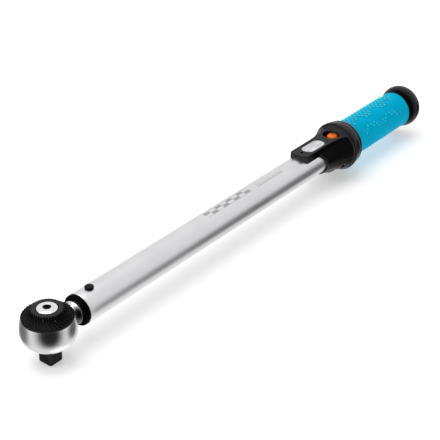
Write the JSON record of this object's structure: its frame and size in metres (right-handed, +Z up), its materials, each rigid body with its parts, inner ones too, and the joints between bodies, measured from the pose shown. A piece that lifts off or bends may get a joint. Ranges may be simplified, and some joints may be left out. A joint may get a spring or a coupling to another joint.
{
  "type": "torque wrench",
  "caption": "Click-type torque wrench with a round ratchet head, reversing dial, square drive, satin tube, scale window with lock button and a blue turning grip.",
  "frame": {"origin": "centre of the square drive's end face, on the drive's axis", "axes": "+X along the tube from the drive to the grip, +Z up out of the direction dial, so that the drive points down"},
  "size_m": [0.5438, 0.049, 0.0545],
  "materials": {
    "satin_tube": "satin chrome plate",
    "head_chrome": "polished chrome",
    "cap_chrome": "bright chrome",
    "black_plastic": "fine moulded texture",
    "ring_plastic": "satin moulded",
    "black_rubber": "satin",
    "dial_plastic": "ribbed, satin",
    "black_steel": "black phosphate",
    "blue_rubber": "soft satin with raised dots",
    "orange_plastic": "glossy",
    "clear_lens": "clear polished",
    "scale_silver": "satin printed plate",
    "spring_steel": "oiled spring wire",
    "machined_steel": "machined",
    "bronze": "machined",
    "index_paint": "matt red",
    "screw_steel": "zinc"
  },
  "bodies": {
    "tube": {"outer_tube": "satin_tube", "front_collar": "black_rubber", "pivot_pin": "black_steel", "main_spring": "spring_steel", "upper_housing": "black_plastic", "lower_housing": "black_plastic", "window_lens": "clear_lens", "scale_plate": "scale_silver", "cover_screw": "screw_steel", "shell_screws": "screw_steel", "button_seat": "machined_steel", "thrust_bush": "bronze", "thrust_washers": "machined_steel", "lock_spring": "spring_steel"},
    "head": {"ratchet_head": "head_chrome", "cover_plate": "machined_steel", "retaining_ring": "spring_steel", "gear_washer": "bronze", "pawl_pin": "machined_steel", "detent_ball": "machined_steel", "detent_spring": "spring_steel"},
    "drive": {"drive_spindle": "black_steel", "cap_screw": "cap_chrome", "socket_ball": "machined_steel", "socket_spring": "spring_steel"},
    "dial": {"direction_dial": "dial_plastic"},
    "pawl": {"pawl": "machined_steel"},
    "plunger": {"plunger": "machined_steel"},
    "block": {"tilting_block": "machined_steel"},
    "nut": {"adjusting_nut": "bronze", "index_arm": "index_paint"},
    "button": {"lock_button": "orange_plastic"},
    "grip": {"adjusting_screw": "machined_steel", "lock_ring": "machined_steel", "handle_core": "black_plastic", "front_ring": "ring_plastic", "grip_sleeve": "blue_rubber", "end_cap": "black_rubber", "end_plug": "machined_steel", "end_screw": "screw_steel"}
  },
  "joints": [
    {"name": "head_click", "type": "hinge", "parent": "tube", "child": "head", "pos_m": [0.0457, 0, 0.03], "axis": [0, 0, 1], "range_deg": [-1.5, 1.5], "stiffness_Nm_per_rad": 40},
    {"name": "drive_spin", "type": "hinge", "parent": "head", "child": "drive", "pos_m": [0, 0, 0.03], "axis": [0, 0, 1], "continuous": true},
    {"name": "dial_turn", "type": "hinge", "parent": "head", "child": "dial", "pos_m": [0, 0, 0.03], "axis": [0, 0, 1], "range_deg": [0, 40]},
    {"name": "pawl_rock", "type": "hinge", "parent": "head", "child": "pawl", "pos_m": [0.01335, 0, 0.03], "axis": [0, 0, 1], "range_deg": [0, 8.1]},
    {"name": "plunger_slide", "type": "slide", "parent": "tube", "child": "plunger", "axis": [1, 0, 0], "range_m": [0, 0.0008], "stiffness_N_per_m": 8000},
    {"name": "block_tilt", "type": "hinge", "parent": "plunger", "child": "block", "pos_m": [0.11995, 0, 0.03], "axis": [0, 0, 1], "range_deg": [-11, 11]},
    {"name": "handle_turn", "type": "hinge", "parent": "tube", "child": "grip", "pos_m": [0.45, 0, 0.03], "axis": [-1, 0, 0], "range_deg": [0, 3600]},
    {"name": "nut_slide", "type": "slide", "parent": "tube", "child": "nut", "axis": [-1, 0, 0], "range_m": [0, 0.024], "deforming": ["main_spring"]},
    {"name": "lock_press", "type": "slide", "parent": "tube", "child": "button", "axis": [0, 0, -1], "range_m": [0, 0.002], "stiffness_N_per_m": 900, "springref_m": -0.0005, "deforming": ["lock_spring"]}
  ],
  "couplings": [
    {"joint": "pawl_rock", "follows": "dial_turn", "ratio": 0.2},
    {"joint": "block_tilt", "follows": "head_click", "ratio": -7.19},
    {"joint": "nut_slide", "follows": "handle_turn", "m_per_rad": 0.00038195}
  ]
}
